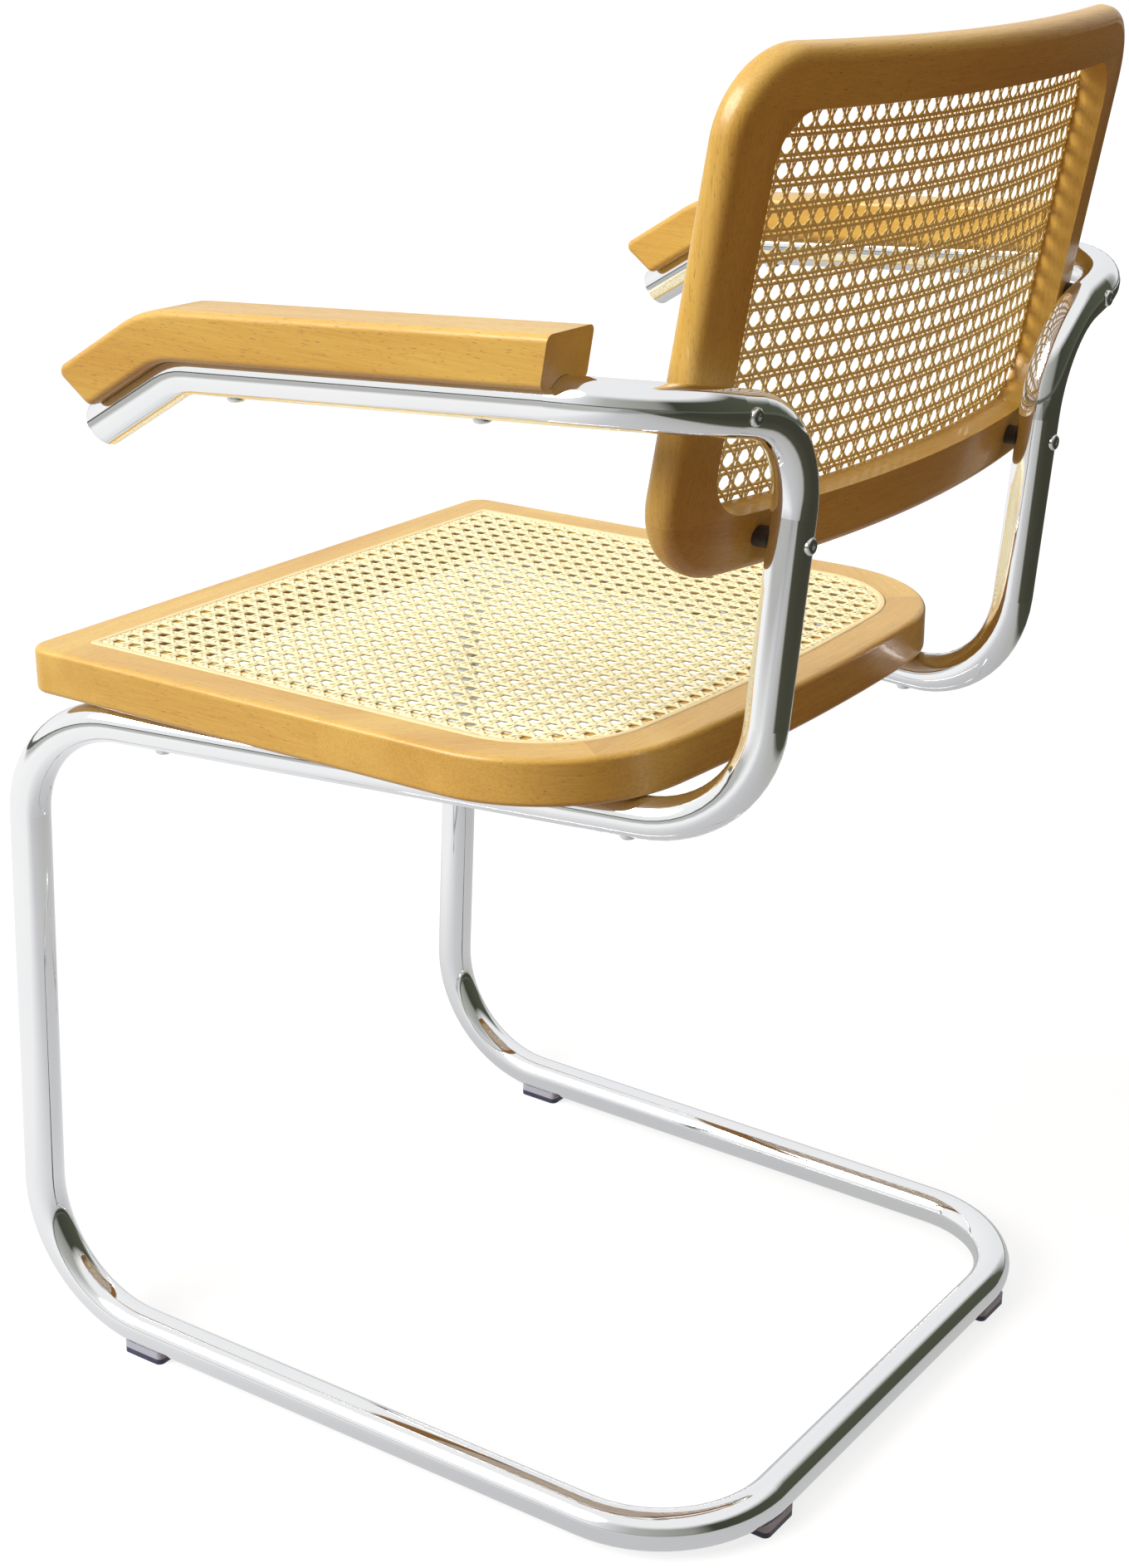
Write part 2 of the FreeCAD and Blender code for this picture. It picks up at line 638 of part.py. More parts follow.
for tooth in range(teeth):
    root = f"-seat_thickness * {teeth * 2 - tooth * 2} / {teeth * 2 + 1}"
    crest = f"-seat_thickness * {teeth * 2 - 1 - tooth * 2} / {teeth * 2 + 1}"
    steps += [("0", root), ("finger_length", root), ("finger_length", crest), ("0", crest)]
steps.append(("0", above))
polygon(comb, steps)
pad(fingers, comb, "seat_length * 2", SideType="Symmetric")
wide = f"seat_rear_half_width + {past}"
end_of_seat = f"seat_length + {past}"
corner_block = box("seat_corner_block", ("seat_rear_corner / 2", "seat_corner_joint", below),
                   (wide, end_of_seat, above), seat_place)
left_corner_tool = common("seat_left_corner_tool", corner_block, fingers)
right_corner_tool = mirrored("seat_right_corner_tool", left_corner_tool)
front_block = box("seat_front_block", (f"-({wide})", f"-{past}", below),
                  (wide, "seat_side_joint", above), seat_place)
side_block = box("seat_side_block", ("0", "seat_side_joint", below),
                 (wide, "seat_corner_joint", above), seat_place)
rear_block = box("seat_rear_block", (f"-({wide})", "seat_corner_joint", below),
                 (wide, end_of_seat, above), seat_place)
bored_ring = cut("seat_ring_bored", seat_ring, *wood_holes["seat"],
                 *[mirrored(hole.Name + "_right", hole) for hole in wood_holes["seat"]])
front_rail = common("seat_front_rail", bored_ring, front_block)
left_side_rail = common("seat_left_side_rail", bored_ring, side_block)
left_corner = common("seat_left_corner", bored_ring, left_corner_tool)
rear_half = common("seat_rear_half", bored_ring, rear_block)
rear_rail = cut("seat_rear_rail", rear_half, left_corner_tool, right_corner_tool)
right_side_rail = mirrored("seat_right_side_rail", left_side_rail)
right_corner = mirrored("seat_right_corner", left_corner)


# Seat cane and its spline
# The woven panel is level with the wood, with a plain grid of openings for its mesh over the
# ring's opening. The spline is a rod of reed wedged into the groove.
def mesh_openings(name, low, high, counts, field, place):
    """Openings between two corners, so many along each direction, as far as the field goes."""
    slots = []
    for axis, count in counts.items():
        pitch = f"({high[axis]} - ({low[axis]})) / {count}"
        row = []
        for step in range(count):
            start, end = list(low), list(high)
            start[axis] = f"{low[axis]} + {pitch} * {step} + cane_bar / 2"
            end[axis] = f"{low[axis]} + {pitch} * {step + 1} - cane_bar / 2"
            row.append(box(f"{name}_{'xyz'[axis]}{step}", start, end, place))
        slots.append(add("Part::Compound", f"{name}_{'xyz'[axis]}_slots", Links=row))
    return common(name, common(name + "_grid", *slots), field)


seat_sheet = seat_body("seat_cane_sheet")
cane_outline = sketch_on(seat_sheet, "seat_cane_outline", "XY_Plane")
seat_outline(cane_outline, "seat_border + seat_groove + cane_clearance")
pad(seat_sheet, cane_outline, "cane_thickness", Reversed=True)
seat_sheet.Placement = seat_place.multiply(
    Placement(Vector(0, 0, -size("cane_clearance")), Rotation()))
seat_field = seat_body("seat_cane_field")
field_outline = sketch_on(seat_field, "seat_field_outline", "XY_Plane")
seat_hem = "(seat_border + seat_groove + seat_lip)"
seat_outline(field_outline, seat_hem)
pad(seat_field, field_outline, "seat_thickness", SideType="Symmetric")
seat_mesh = mesh_openings(
    "seat_cane_openings", (f"{seat_hem} - seat_front_half_width", seat_hem, "-seat_thickness / 4"),
    (f"seat_front_half_width - {seat_hem}", f"seat_length - {seat_hem}", "seat_thickness / 4"),
    {0: 12, 1: 11}, seat_field, seat_place)
seat_cane = cut("seat_cane_panel", seat_sheet, seat_mesh)
seat_spline = seat_body("seat_spline")
spline_outline = sketch_on(seat_spline, "seat_spline_outline", "XY_Plane")
seat_outline(spline_outline, "seat_border + spline_clearance")
seat_outline(spline_outline, "seat_border + seat_groove - spline_clearance")
pad(seat_spline, spline_outline, "groove_depth + spline_crown", Reversed=True)
seat_spline.Placement = seat_place.multiply(
    Placement(Vector(0, 0, size("spline_crown")), Rotation()))
fillet(seat_spline, "spline_edge",
       lambda edge: edge.BoundBox.ZMax > -0.01 and abs(edge.tangentAt(edge.FirstParameter).z) < 0.5)


# Back frame
# Its front and rear faces are arcs in plan, hollow to the front, so the frame wraps round the
# sitter. In elevation it is a rectangle with rounded corners round a rounded opening.
def back_body(name):
    body = add("PartDesign::Body", name)
    body.Placement = back_place
    return body


def curved_slab(name, near, far, margin):
    """A slab between two depths below the rear face, curved with it, wider by the margin."""
    body = back_body(name)
    sketch = sketch_on(body, name + "_plan", "XY_Plane")
    outer, inner = f"{back_radius} - ({near})", f"{back_radius} - ({far})"
    half = f"back_half_width + ({margin})"
    r0, r1, w = size(outer), size(inner), size(half)
    centre = Vector(0, -size(back_radius), 0)
    a0, a1 = math.acos(w / r0), math.acos(w / r1)
    y0, y1 = centre.y + r0 * math.sin(a0), centre.y + r1 * math.sin(a1)
    sketch.addGeometry(arc(centre, r0, a0, math.pi - a0))
    sketch.addGeometry(Part.LineSegment(Vector(-w, y0, 0), Vector(-w, y1, 0)))
    sketch.addGeometry(arc(centre, r1, a1, math.pi - a1))
    sketch.addGeometry(Part.LineSegment(Vector(w, y1, 0), Vector(w, y0, 0)))
    for pair in ((0, 2, 1, 1), (1, 2, 2, 2), (2, 1, 3, 1), (3, 2, 0, 1)):
        sketch.addConstraint(Sketcher.Constraint("Coincident", *pair))
    for line in (1, 3):
        sketch.addConstraint(Sketcher.Constraint("Vertical", line))
    sketch.addConstraint(Sketcher.Constraint("Coincident", 0, 3, 2, 3))
    sketch.addConstraint(Sketcher.Constraint("PointOnObject", 0, 3, -2))
    hold(sketch, "DistanceY", f"-({back_radius})", 0, 3)
    hold(sketch, "Radius", outer, 0)
    hold(sketch, "Radius", inner, 2)
    hold(sketch, "DistanceX", half, 3, 1)
    hold(sketch, "DistanceX", f"-({half})", 1, 1)
    pad(body, sketch, "back_height")
    return body


def back_rectangle(sketch, side, bottom, top, radius):
    rounded_rectangle(sketch, f"back_half_width - ({side})", bottom, f"back_height - ({top})", radius)


def back_plate(name, *rings):
    """A thick plate seen from behind as rounded rectangles, drawn in from the back's edges."""
    body = back_body(name)
    sketch = sketch_on(body, name + "_elevation", "XZ_Plane")
    for ring in rings:
        back_rectangle(sketch, *ring)
    pad(body, sketch, "back_thickness * 6", SideType="Symmetric")
    return body


def opening_ring(extra):
    """The back's opening, enlarged all round."""
    return (f"back_stile_width - ({extra})", f"back_bottom_rail - ({extra})",
            f"back_top_rail - ({extra})", f"back_opening_corner + ({extra})")


blank = curved_slab("back_ring", "0", "back_thickness", "0")
surround = sketch_on(blank, "back_surround", "XZ_Plane")
back_rectangle(surround, "0", "0", "0", "back_corner")
rounded_rectangle(surround, "back_half_width * 1.5", "-back_height / 2", "back_height * 1.5",
                  "back_corner")
pocket(blank, surround, Type="ThroughAll", SideType="Symmetric")
fillet(blank, "back_edge", lambda edge: abs(edge.tangentAt(edge.FirstParameter).y) < 0.5)
window = sketch_on(blank, "back_window", "XZ_Plane")
back_rectangle(window, *opening_ring("0"))
pocket(blank, window, Type="ThroughAll", SideType="Symmetric")


def curved_panel(name, near, far, *rings):
    """What lies between two depths and within the rings: a thin panel, or a tool of its shape."""
    return common(name, curved_slab(name + "_slab", near, far, str(past)),
                  back_plate(name + "_plate", *rings))


in_front = f"back_thickness + {past}"
groove_cut = curved_panel("back_groove_cut", "back_thickness - groove_depth", in_front,
                          opening_ring("back_lip + back_groove"), opening_ring("back_lip"))
rebate_cut = curved_panel("back_rebate_cut", "back_thickness - cane_thickness - cane_clearance",
                          in_front, opening_ring("back_lip + back_groove / 2"))
back_pilots = wood_holes["back"] + [mirrored(hole.Name + "_right", hole) for hole in wood_holes["back"]]
worked = cut("back_ring_worked", blank, groove_cut, rebate_cut, *back_pilots)

# The back is four pieces. Its rails run across the whole width and the stiles stand between
# them, so the joints are level with the top and the bottom of the opening.
beyond = f"back_half_width + {past}"
deep, shallow = f"-back_sag * 2 - back_thickness - {past}", str(past)
top_block = box("back_top_block", (f"-({beyond})", deep, "back_height - back_top_rail"),
                (beyond, shallow, f"back_height + {past}"), back_place)
bottom_block = box("back_bottom_block", (f"-({beyond})", deep, f"-{past}"),
                   (beyond, shallow, "back_bottom_rail"), back_place)
stile_block = box("back_stile_block", ("0", deep, "back_bottom_rail"),
                  (beyond, shallow, "back_height - back_top_rail"), back_place)
top_rail = common("back_top_rail", worked, top_block)
bottom_rail = common("back_bottom_rail", worked, bottom_block)
left_stile = common("back_left_stile", worked, stile_block)
right_stile = mirrored("back_right_stile", left_stile)

# Back cane and its spline
# As on the seat, but curved with the frame's front face.
back_sheet = curved_panel("back_cane_sheet", "back_thickness - cane_thickness - cane_clearance",
                          "back_thickness - cane_clearance", opening_ring("back_lip - cane_clearance"))
back_mesh = mesh_openings(
    "back_cane_openings", ("back_stile_width - back_half_width", deep, "back_bottom_rail"),
    ("back_half_width - back_stile_width", shallow, "back_height - back_top_rail"),
    {0: 12, 2: 7}, back_plate("back_cane_field", opening_ring("0")), back_place)
back_cane = cut("back_cane_panel", back_sheet, back_mesh)
back_spline = curved_panel("back_spline", "back_thickness - groove_depth",
                           "back_thickness + spline_crown",
                           opening_ring("back_lip + back_groove - spline_clearance"),
                           opening_ring("back_lip + spline_clearance"))

# Back spacers
# Short dark plugs hold the back off the posts and the shoulders. Each is hollowed to its tube
# and cut to the back's curve, with a screw through it.
back_clear = curved_slab("back_clear", "-tube_seat_gap", "back_thickness * 2", str(past))
spacers = {end: cut(f"{end}_left_spacer", item, tube_seat, back_clear, *screw_holes)
           for end, item in spacer_rods.items()}


# Pieces
def pair(name, left):
    """Identical pieces on both sides, kept as separate solids of one group."""
    both = list(left) + [mirrored(item.Name + "_right", item) for item in left]
    return add("Part::Compound", name, Links=both)


pieces = {
    "left_side_tube": left_tube,
    "right_side_tube": right_tube,
    "frame_joint_sleeve": sleeve,
    "left_tube_end_cap": left_cap,
    "right_tube_end_cap": right_cap,
    "front_left_foot_pad": foot_pads["front"],
    "front_right_foot_pad": mirrored("front_right_foot_pad", foot_pads["front"]),
    "rear_left_foot_pad": foot_pads["rear"],
    "rear_right_foot_pad": mirrored("rear_right_foot_pad", foot_pads["rear"]),
    "left_armrest": left_armrest,
    "right_armrest": right_armrest,
    "armrest_screws": pair("armrest_screws", screws["armrest"]),
    "seat_front_rail": front_rail,
    "seat_left_side_rail": left_side_rail,
    "seat_right_side_rail": right_side_rail,
    "seat_left_corner": left_corner,
    "seat_right_corner": right_corner,
    "seat_rear_rail": rear_rail,
    "seat_cane_panel": seat_cane,
    "seat_spline": seat_spline,
    "seat_screws": pair("seat_screws", screws["seat"]),
    "back_top_rail": top_rail,
    "back_bottom_rail": bottom_rail,
    "back_left_stile": left_stile,
    "back_right_stile": right_stile,
    "back_cane_panel": back_cane,
    "back_spline": back_spline,
    "back_lower_spacers": pair("back_lower_spacers", [spacers["lower"]]),
    "back_upper_spacers": pair("back_upper_spacers", [spacers["upper"]]),
    "back_screws": pair("back_screws", screws["back"]),
}
doc.recompute()
failed = [item.Name for item in doc.Objects if {"Invalid", "Error"} & set(item.State)]
assert not failed, failed
os.makedirs("parts", exist_ok=True)
for name, piece in pieces.items():
    piece.Label = name
    shape = piece.Shape
    assert not shape.isNull() and shape.isValid() and shape.Solids, name
    shape.exportStep(f"parts/{name}.step")
    box_of = shape.optimalBoundingBox()
    print(f"{name}: {len(shape.Solids)} solids, {shape.Volume / 1000:.2f} cm3, "
          f"x {box_of.XMin:.1f} {box_of.XMax:.1f}, y {box_of.YMin:.1f} {box_of.YMax:.1f}, "
          f"z {box_of.ZMin:.1f} {box_of.ZMax:.1f}")
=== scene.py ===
# A cantilever dining armchair: a sprung frame of bright steel tube, with a caned seat, a caned
# back and armrests in beech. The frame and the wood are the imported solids, given their finishes
# here; the cane's woven strands and the screws are made new. Lengths are in metres.
import bpy
import math
from mathutils import Euler, Matrix, Vector


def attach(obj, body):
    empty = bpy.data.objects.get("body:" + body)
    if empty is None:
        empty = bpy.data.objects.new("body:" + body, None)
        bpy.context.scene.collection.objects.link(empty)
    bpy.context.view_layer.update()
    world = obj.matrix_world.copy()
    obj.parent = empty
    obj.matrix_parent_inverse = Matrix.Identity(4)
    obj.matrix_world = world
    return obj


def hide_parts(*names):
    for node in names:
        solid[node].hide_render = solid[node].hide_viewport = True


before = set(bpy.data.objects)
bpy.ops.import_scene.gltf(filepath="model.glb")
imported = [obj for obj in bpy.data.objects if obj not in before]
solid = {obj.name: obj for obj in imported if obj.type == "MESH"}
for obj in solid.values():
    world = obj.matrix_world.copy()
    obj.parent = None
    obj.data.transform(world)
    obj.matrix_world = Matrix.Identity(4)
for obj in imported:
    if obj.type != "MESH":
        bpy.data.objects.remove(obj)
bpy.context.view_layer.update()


# Camera
# Behind the sitter's left side and above the seat, about 1.7 m from the chair's middle, looking
# down on it and a little tilted.
camera = bpy.data.objects.new("camera", bpy.data.cameras.new("camera"))
bpy.context.scene.collection.objects.link(camera)
bpy.context.scene.camera = camera
camera_place = Vector((1.29141, 0.90164, 0.9909))
azimuth, elevation, roll = math.radians(119.854), math.radians(21.27), math.radians(2.878)
aim = Matrix.Rotation(azimuth, 4, "Z") @ Matrix.Rotation(math.pi / 2 - elevation, 4, "X")
camera.matrix_world = Matrix.Translation(camera_place) @ aim @ Matrix.Rotation(roll, 4, "Z")
camera.data.sensor_width = 36
camera.data.lens = 60.224
camera.data.shift_x = -0.14


# Steel frame
# Two bent halves of 25 mm steel tube, polished and chromium plated, joined by a sleeve inside the
# rear floor tube. The arm ends are closed with plugs of the same finish.
class Wire:
    """An output of a node. Sums and products of wires add Math nodes."""

    def __init__(self, tree, socket=None):
        self.tree = tree
        self.socket = socket

    def node(self, kind, settings=None, sockets=None, output=0):
        """Adds a node with its settings and the values or links of its sockets. Gives one output."""
        made = self.tree.nodes.new(kind)
        for name, value in (settings or {}).items():
            if name == "stops":
                ramp = made.color_ramp
                while len(ramp.elements) < len(value):
                    ramp.elements.new(1)
                for element, (position, colour) in zip(ramp.elements, value):
                    element.position = position
                    element.color = (*colour, 1)
            else:
                setattr(made, name, value)
        for name, value in (sockets or {}).items():
            if isinstance(value, Wire):
                self.tree.links.new(value.socket, made.inputs[name])
            else:
                made.inputs[name].default_value = value
        return Wire(self.tree, made.outputs[output])

    def siblings(self):
        """This wire and the other outputs in use of its node, by their names."""
        outputs = self.socket.node.outputs
        return {output.name: Wire(self.tree, output) for output in outputs if output.enabled}

    def math(self, operation, *others, clamp=False):
        values = dict(enumerate((self, *others)))
        return self.node("ShaderNodeMath", {"operation": operation, "use_clamp": clamp}, values)

    def clamped(self):
        """The same value, kept between 0 and 1."""
        return self.math("ADD", 0.0, clamp=True)

    def __add__(self, other):
        return self.math("ADD", other)

    def __sub__(self, other):
        return self.math("SUBTRACT", other)

    def __mul__(self, other):
        return self.math("MULTIPLY", other)

    def __rsub__(self, other):
        return self.node("ShaderNodeMath", {"operation": "SUBTRACT"}, {0: other, 1: self})

    def __truediv__(self, other):
        return self.math("DIVIDE", other)

    __radd__ = __add__
    __rmul__ = __mul__


def new_finish(name, **sockets):
    """A material with values of its surface shader set, the shader and the object's coordinates."""
    material = bpy.data.materials.new(name)
    material.use_nodes = True
    shader = material.node_tree.nodes["Principled BSDF"]
    for socket, value in sockets.items():
        shader.inputs[socket.replace("_", " ")].default_value = value
    where = Wire(material.node_tree).node("ShaderNodeTexCoord", output="Object")
    return material, shader, where


def drive(shader, **wires):
    """Links wires to a surface shader's sockets."""
    for socket, wire in wires.items():
        wire.tree.links.new(wire.socket, shader.inputs[socket.replace("_", " ")])


def noise(where, scale, detail, roughness=0.5):
    """Cloudy noise between 0 and 1."""
    return where.node("ShaderNodeTexNoise", sockets={
        "Vector": where, "Scale": scale, "Detail": detail, "Roughness": roughness})


def tint(a, b, share):
    """One colour turning into another by a share. A Mix node's colours are on sockets 6, 7 and 2."""
    return share.node("ShaderNodeMix", {"data_type": "RGBA"}, {0: share, 6: a, 7: b}, output=2)


def dress(material, *names):
    """Gives solids their material."""
    for name in names:
        slots = solid[name].data.materials
        slots.clear()
        slots.append(material)


chrome, shader, where = new_finish("chromium plate", Metallic=1.0, Roughness=0.05)
haze = noise(where, 14.0, 4.0)
wipes = noise(where, 900.0, 2.0)
drive(shader,
      Base_Color=tint((0.86, 0.87, 0.88, 1), (0.93, 0.93, 0.92, 1), haze),
      Roughness=haze * 0.05 + wipes * 0.02 + 0.02)
dress(chrome, "left_side_tube", "right_side_tube", "frame_joint_sleeve",
      "left_tube_end_cap", "right_tube_end_cap")


# Foot pads
# Four saddles of cloudy plastic, which keep the steel off the floor. Each is pressed under a floor
# tube, with its stem in a hole there. Their colour is dark navy up to 3.5 mm above the floor and pale
# grey above that. The pale grey is painted light that stands in for the white floor seen through clear
# plastic.
dark_band_height = 0.0035
pad, shader, where = new_finish("pad plastic", Roughness=0.4)
cloud = noise(where, 60.0, 3.0)
up = where.node("ShaderNodeSeparateXYZ", sockets={"Vector": where}, output="Z")
# Above the dark band the pad turns pale grey: painted light standing in for the white floor seen
# through clear plastic.
clear = ((up - dark_band_height) * 1500.0).clamped()
dark_band_tone = tint((0.020, 0.026, 0.055, 1), (0.05, 0.06, 0.12, 1), cloud)
drive(shader,
      Base_Color=tint(dark_band_tone, (0.42, 0.44, 0.52, 1), clear), Roughness=cloud * 0.2 + 0.3)
dress(pad, "front_left_foot_pad", "front_right_foot_pad", "rear_left_foot_pad", "rear_right_foot_pad")


# Armrests
# Two bars of beech, sawn to the bend of the arm, rounded over, grooved below to sit on the tube
# and clear lacquered. Each is held by two screws from below.
grain_sideways, grain_lengthwise, grain_upright = (0, 0, 0), (0, 0, 90), (0, 90, 0)


def beech(name, turn, light=(0.71, 0.465, 0.105, 1), dark=(0.54, 0.29, 0.045, 1)):
    """Lacquered beech whose grain runs along X of the object turned by some angles in degrees."""
    material, shader, where = new_finish(name, Roughness=0.35, Coat_Weight=0.2, Coat_Roughness=0.1)
    angles = tuple(math.radians(angle) for angle in turn)
    lying = where.node("ShaderNodeMapping", sockets={"Vector": where, "Rotation": angles})

    def pattern(along, across, detail, roughness=0.5):
        """Noise with so many clouds to a metre along the grain and across it."""
        pulled = lying.node("ShaderNodeVectorMath", {"operation": "MULTIPLY"}, {
            0: lying, 1: (along, across, across)})
        return noise(pulled, 1.0, detail, roughness)

    figure = pattern(2.2, 30.0, 3.0)
    rings = (pattern(1.2, 9.0, 2.0) * 34.0).math("SINE") * 0.5 + 0.5
    fibre = pattern(30.0, 900.0, 3.0, 0.6)
    flecks = ((pattern(210.0, 1700.0, 1.0) - 0.63) * 9.0).clamped()
    share = (figure * 1.3 - 0.25 + rings * 0.3 + (fibre - 0.5) * 1.1).clamped()
    flecked = tint(tint(light, dark, share), (0.24, 0.11, 0.035, 1), flecks * 0.55)
    relief = where.node("ShaderNodeBump", sockets={
        "Strength": 0.25, "Distance": 0.0002, "Height": fibre * 0.6 - flecks})
    drive(shader, Base_Color=flecked, Roughness=fibre * 0.2 + 0.28, Normal=relief)
    return material


dress(beech("armrest beech", grain_lengthwise), "left_armrest", "right_armrest")


# Seat ring
# Six pieces of beech, finger-jointed and glued into a frame and shaped after gluing. The grain of
# each runs along it, so the fingers show by their colour.
rear_light, rear_dark = (0.66, 0.42, 0.09, 1), (0.46, 0.235, 0.038, 1)
dress(beech("seat side beech", grain_lengthwise), "seat_left_side_rail", "seat_right_side_rail")
dress(beech("seat front beech", grain_sideways), "seat_front_rail")
dress(beech("seat rear beech", grain_sideways, rear_light, rear_dark), "seat_rear_rail")
for side, turn in (("left", 45), ("right", -45)):
    dress(beech(f"seat {side} corner beech", (0, 0, turn)), f"seat_{side}_corner")


# Back frame
# Two rails and two stiles of beech, glued up and cut from thick stock to the curve of the back,
# then rounded over all round.
dress(beech("back rail beech", grain_sideways), "back_top_rail", "back_bottom_rail")
dress(beech("back stile beech", grain_upright), "back_left_stile", "back_right_stile")


# Back spacers
# Four short plugs of dark moulded plastic between the steel and the back. Each is held by the
# screw that goes through it.
spacer, shader, where = new_finish("spacer plastic", Roughness=0.5)
grit = noise(where, 700.0, 2.0)
drive(shader,
      Base_Color=tint((0.022, 0.015, 0.011, 1), (0.050, 0.034, 0.024, 1), grit),
      Roughness=grit * 0.3 + 0.35)
dress(spacer, "back_lower_spacers", "back_upper_spacers")


# Screws
# Round-headed steel screws with a hexagon socket, bright plated, in pairs. Each goes through a
# tube, with its head in a flat spot on it, into the armrest, the seat ring or the back.
plate, shader, where = new_finish("screw plating", Metallic=1.0, Roughness=0.2)
grit = noise(where, 1200.0, 2.0)
drive(shader,
      Base_Color=tint((0.62, 0.62, 0.61, 1), (0.82, 0.82, 0.81, 1), grit),
      Roughness=grit * 0.2 + 0.1)
shank_radius, head_radius, head_height, head_rounding = 0.0025, 0.005, 0.003, 0.0021
socket_half, socket_depth, socket_point = 0.0017, 0.0016, 0.0018
seat_slope, arm_slope = math.radians(1.4366), math.radians(5.2566)


def hexagon(angle):
    """How far a hexagon reaches at an angle, when its flats are 1 from its middle."""
    return 1 / math.cos((angle + math.pi / 6) % (math.pi / 3) - math.pi / 6)


def screw(length, count=24, dome_count=6):
    """A screw with so many sides: its shank below 0, and its round head with the socket above.

    It is made of rings, and each has a radius, a height and whether it belongs to the socket.
    """
    dome_radius, dome_height = head_radius - head_rounding, head_height - head_rounding
    rings = [(shank_radius, -length, False), (shank_radius, 0, False), (head_radius, 0, False)]
    for step in range(dome_count + 1):
        angle = math.pi / 2 * step / dome_count
        rings.append((dome_radius + head_rounding * math.cos(angle),
                      dome_height + head_rounding * math.sin(angle), False))
    rings += [(socket_half, head_height, True), (socket_half, head_height - socket_depth, True)]
    vertices, faces = [(0, 0, -length)], []
    for radius, height, in_socket in rings:
        for step in range(count):
            angle = 2 * math.pi * step / count
            reach = radius * hexagon(angle) if in_socket else radius
            vertices.append((reach * math.cos(angle), reach * math.sin(angle), height))
    vertices.append((0, 0, head_height - socket_point))
    for ring in range(len(rings) - 1):
        for step in range(count):
            a, b = 1 + ring * count + step, 1 + ring * count + (step + 1) % count
            faces.append((a, b, b + count, a + count))
    last = len(vertices) - 1
    for step in range(count):
        faces.append((0, 1 + (step + 1) % count, 1 + step))
        faces.append((last, last - count + step, last - count + (step + 1) % count))
    return vertices, faces


def left_screws(name, split, tilt, nearly=0.00001):
    """Where a solid's two left-hand screws have their heads seated, and how long their shanks are.

    Split is the axis along which the two stand apart, and tilt turns an upright screw to lie as
    they do.
    """
    into = Vector((0, math.sin(tilt), -math.cos(tilt)))
    points = {tuple(round(part, 7) for part in vertex.co) for vertex in solid[name].data.vertices}
    left = [Vector(point) for point in points if point[0] > 0]
    halfway = (min(point[split] for point in left) + max(point[split] for point in left)) / 2
    found = []
    for side in (-1, 1):
        body = [point for point in left if (point[split] - halfway) * side > 0]
        depths = [point.dot(into) for point in body]
        length = max(depths) - min(depths) - head_height
        tip = [point for point in body if point.dot(into) > max(depths) - nearly]
        found.append((sum(tip, Vector()) / len(tip) - into * length, length))
    return found


def new_tree(name, numbers, vectors):
    """A tree that takes a mesh, some numbers and vectors and a material. Gives their wires."""
    tree = bpy.data.node_groups.new(name, "GeometryNodeTree")
    for kind, labels in (("Geometry", ["Geometry"]), ("Float", numbers), ("Vector", vectors),
                         ("Material", ["Material"])):
        for label in labels:
            tree.interface.new_socket(label, in_out="INPUT", socket_type="NodeSocket" + kind)
    tree.interface.new_socket("Geometry", in_out="OUTPUT", socket_type="NodeSocketGeometry")
    return Wire(tree).node("NodeGroupInput").siblings()


def end_tree(shape, material):
    """Ends a tree with one plain mesh in its material. Gives the tree."""
    shape = shape.node("GeometryNodeRealizeInstances", sockets={"Geometry": shape})
    shape = shape.node("GeometryNodeSetMaterial", sockets={"Geometry": shape, "Material": material})
    leave = shape.tree.nodes.new("NodeGroupOutput")
    shape.tree.links.new(shape.socket, leave.inputs[0])
    return shape.tree


def grown(name, tree, vertices, faces, **inputs):
    """A plain mesh object that a tree grew from a first mesh."""
    mesh = bpy.data.meshes.new(name)
    mesh.from_pydata(vertices, [], faces)
    item = bpy.data.objects.new(name, mesh)
    bpy.context.scene.collection.objects.link(item)
    modifier = item.modifiers.new("grow", "NODES")
    modifier.node_group = tree
    for socket in tree.interface.items_tree:
        label = socket.name.replace(" ", "_")
        if socket.in_out == "INPUT" and label in inputs:
            modifier[socket.identifier] = inputs[label]
    evaluated = item.evaluated_get(bpy.context.evaluated_depsgraph_get())
    result = bpy.data.meshes.new_from_object(evaluated)
    item.modifiers.remove(modifier)
    item.data = result
    result.name = name
    return item


given = new_tree("pair of screws", ["Spacing", "Turn"], ["Place"])
start = given["Geometry"]
first = start.node("ShaderNodeCombineXYZ", sockets={"X": given["Spacing"] * -0.5})
apart = start.node("ShaderNodeCombineXYZ", sockets={"X": given["Spacing"]})
spots = start.node("GeometryNodeMeshLine", sockets={
    "Count": 2, "Start Location": first, "Offset": apart})
turn = start.node("ShaderNodeCombineXYZ", sockets={"X": given["Turn"]})
pair = start.node("GeometryNodeInstanceOnPoints", sockets={
    "Points": spots, "Instance": start, "Rotation": turn})
pair = start.node("GeometryNodeTransform", sockets={"Geometry": pair, "Translation": given["Place"]})
pair_of_screws = end_tree(pair, given["Material"])
y_axis, z_axis = 1, 2
for group, ends, split, tilt in (
        ("back", ("lower", "upper"), z_axis, -math.pi / 2),
        ("seat", ("front", "rear"), y_axis, math.pi + seat_slope),
        ("armrest", ("front", "rear"), y_axis, math.pi + arm_slope)):
    for end, (spot, length) in zip(ends, left_screws(f"{group}_screws", split, tilt)):
        item = grown(f"{group}_{end}_screws", pair_of_screws, *screw(length), Spacing=2 * spot.x,
                     Turn=tilt, Place=Vector((0, spot.y, spot.z)), Material=plate)
        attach(item, "root")
        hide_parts(f"{group}_screws")


